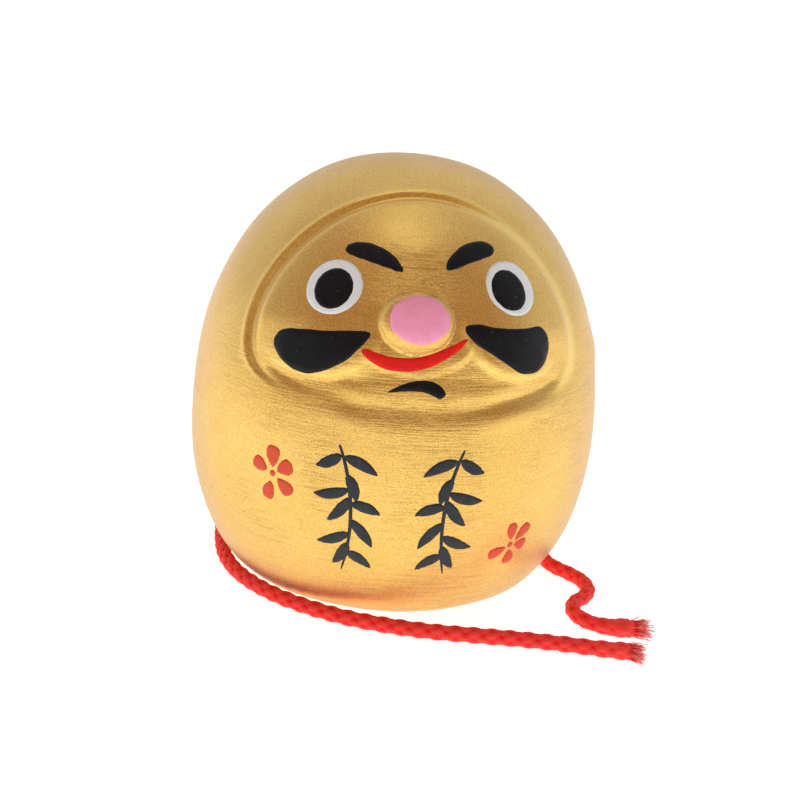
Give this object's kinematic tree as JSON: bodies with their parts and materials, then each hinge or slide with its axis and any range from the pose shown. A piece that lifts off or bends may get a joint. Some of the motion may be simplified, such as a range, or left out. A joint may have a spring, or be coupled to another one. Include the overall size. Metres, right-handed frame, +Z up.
{
  "type": "daruma doll bell",
  "caption": "Round hollow clay doll bell with a grooved face, painted features, a loose pellet, a sound slot in its flat base and a braided cord threaded through its back.",
  "frame": {"origin": "centre of the flat base", "axes": "+Z up along the doll's axis, the face looks along -Y, +X to the right of someone facing the doll"},
  "size_m": [0.0593, 0.0621, 0.0575],
  "materials": {
    "gold_clay": "brushed metallic gold paint over fired clay",
    "bare_clay": "unpainted matt fired clay",
    "white_paint": "satin bluish white paint",
    "ink_paint": "satin black paint with stray gold flecks",
    "pink_paint": "satin pink paint",
    "red_paint": "satin red paint",
    "blossom_paint": "thin matt orange-red paint",
    "sprig_paint": "thin slate-black ink",
    "cord_braid": "round braided red yarn"
  },
  "bodies": {
    "doll": {"face_shell": "gold_clay", "back_shell": "gold_clay", "eye_white_left": "white_paint", "eye_white_right": "white_paint", "pupil_left": "ink_paint", "pupil_right": "ink_paint", "eyebrow_left": "ink_paint", "eyebrow_right": "ink_paint", "moustache_left": "ink_paint", "moustache_right": "ink_paint", "nose_paint": "pink_paint", "mouth_paint": "red_paint", "chin_mark": "ink_paint", "blossom_left": "blossom_paint", "blossom_right": "blossom_paint", "leaf_sprig_left": "sprig_paint", "leaf_sprig_right": "sprig_paint", "cord_bight": "cord_braid", "cord_left": "cord_braid", "cord_right": "cord_braid"},
    "pellet": {"pellet": "bare_clay"}
  },
  "joints": [
    {"name": "pellet_roll", "type": "hinge", "parent": "doll", "child": "pellet", "pos_m": [0, 0, 0.028], "axis": [1, 0, 0], "range_deg": [-75, 75]}
  ]
}
